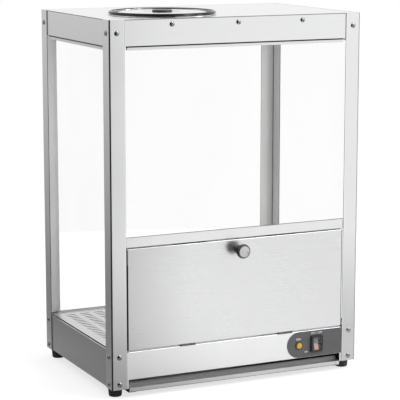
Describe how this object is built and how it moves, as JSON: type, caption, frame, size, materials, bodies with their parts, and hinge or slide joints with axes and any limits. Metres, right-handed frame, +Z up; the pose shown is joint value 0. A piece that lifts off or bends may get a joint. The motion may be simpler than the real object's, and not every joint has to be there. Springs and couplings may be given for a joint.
{
  "type": "chip warmer",
  "caption": "Countertop chip warmer: steel cabinet with clear panes, a lidded loading hole in the top, a drop-down door with a knob, a slotted heated deck and a crumb tray.",
  "frame": {"origin": "on the surface that the feet stand on, under the middle of the object's bounding box", "axes": "+Z up, +X to the right and +Y to the back as seen from the front, where the door is"},
  "size_m": [0.5198, 0.3804, 0.706],
  "materials": {
    "cabinet_steel": "brushed stainless sheet",
    "polished_steel": "polished stainless, spun or turned",
    "screw_steel": "plated steel fasteners",
    "inner_steel": "galvanised sheet inside the base",
    "dark_steel": "black coated runners",
    "heater_sheath": "dull heated sheath",
    "clear_glass": "clear pane",
    "clear_cover": "clear flexible cover",
    "foot_rubber": "moulded black rubber",
    "plate_grey": "dark grey printed plate, left bare",
    "black_plastic": "moulded black plastic",
    "rocker_plastic": "tinted rocker",
    "lamp_amber": "amber lens",
    "wire_cover": "wire insulation",
    "terminal_plastic": "ivory nylon"
  },
  "bodies": {
    "cabinet": {"base_panel_front": "cabinet_steel", "base_panel_rear": "cabinet_steel", "bottom_glass_channels": "cabinet_steel", "chip_deck": "cabinet_steel", "control_plate": "plate_grey", "deck_ledges": "inner_steel", "door_magnets": "dark_steel", "electrics_box": "inner_steel", "electrics_cover": "inner_steel", "fan_frame": "black_plastic", "fan_guard": "inner_steel", "fan_screws": "screw_steel", "foot_front_left": "foot_rubber", "foot_front_right": "foot_rubber", "foot_rear_left": "foot_rubber", "foot_rear_right": "foot_rubber", "foot_screws": "screw_steel", "frame_hinge_leaves": "screw_steel", "glass_front": "clear_glass", "glass_left": "clear_glass", "glass_rear": "clear_glass", "glass_right": "clear_glass", "header_front": "cabinet_steel", "header_left": "cabinet_steel", "header_rear": "cabinet_steel", "header_right": "cabinet_steel", "header_screws": "screw_steel", "heater_element": "heater_sheath", "heater_rail": "inner_steel", "hinge_pins": "screw_steel", "indicator_lamp": "black_plastic", "indicator_lens": "lamp_amber", "kick_panel_left": "cabinet_steel", "kick_panel_right": "cabinet_steel", "loading_collar": "polished_steel", "nuts": "screw_steel", "post_front_left": "cabinet_steel", "post_front_right": "cabinet_steel", "post_rear_left": "cabinet_steel", "post_rear_right": "cabinet_steel", "post_screws": "screw_steel", "power_inlet": "black_plastic", "switch_body": "black_plastic", "switch_membrane": "clear_cover", "terminal_block": "terminal_plastic", "thermostat": "inner_steel", "top_glass_channels": "cabinet_steel", "top_panel": "cabinet_steel", "tray_runners": "dark_steel", "window_sill": "cabinet_steel", "wiring": "wire_cover"},
    "door": {"door_panel": "cabinet_steel", "door_knob": "polished_steel", "door_knob_screw": "screw_steel", "door_hinge_leaves": "screw_steel"},
    "lid": {"lid": "polished_steel", "lid_knob": "black_plastic"},
    "tray": {"crumb_tray": "cabinet_steel"},
    "rocker": {"switch_rocker": "rocker_plastic"},
    "fan": {"fan_rotor": "black_plastic"}
  },
  "joints": [
    {"name": "door_hinge", "type": "hinge", "parent": "cabinet", "child": "door", "pos_m": [0, -0.1616, 0.0877], "axis": [1, 0, 0], "range_deg": [0, 100]},
    {"name": "lid_lift", "type": "slide", "parent": "cabinet", "child": "lid", "axis": [0, 0, 1], "range_m": [0, 0.3]},
    {"name": "tray_slide", "type": "slide", "parent": "cabinet", "child": "tray", "axis": [0, -1, 0], "range_m": [0, 0.3]},
    {"name": "switch_rock", "type": "hinge", "parent": "cabinet", "child": "rocker", "pos_m": [0.1711, -0.1608, 0.0587], "axis": [1, 0, 0], "range_deg": [0, 18]},
    {"name": "fan_spin", "type": "hinge", "parent": "cabinet", "child": "fan", "pos_m": [0.166, 0.0328, 0.06], "axis": [0, 0, 1], "continuous": true}
  ]
}
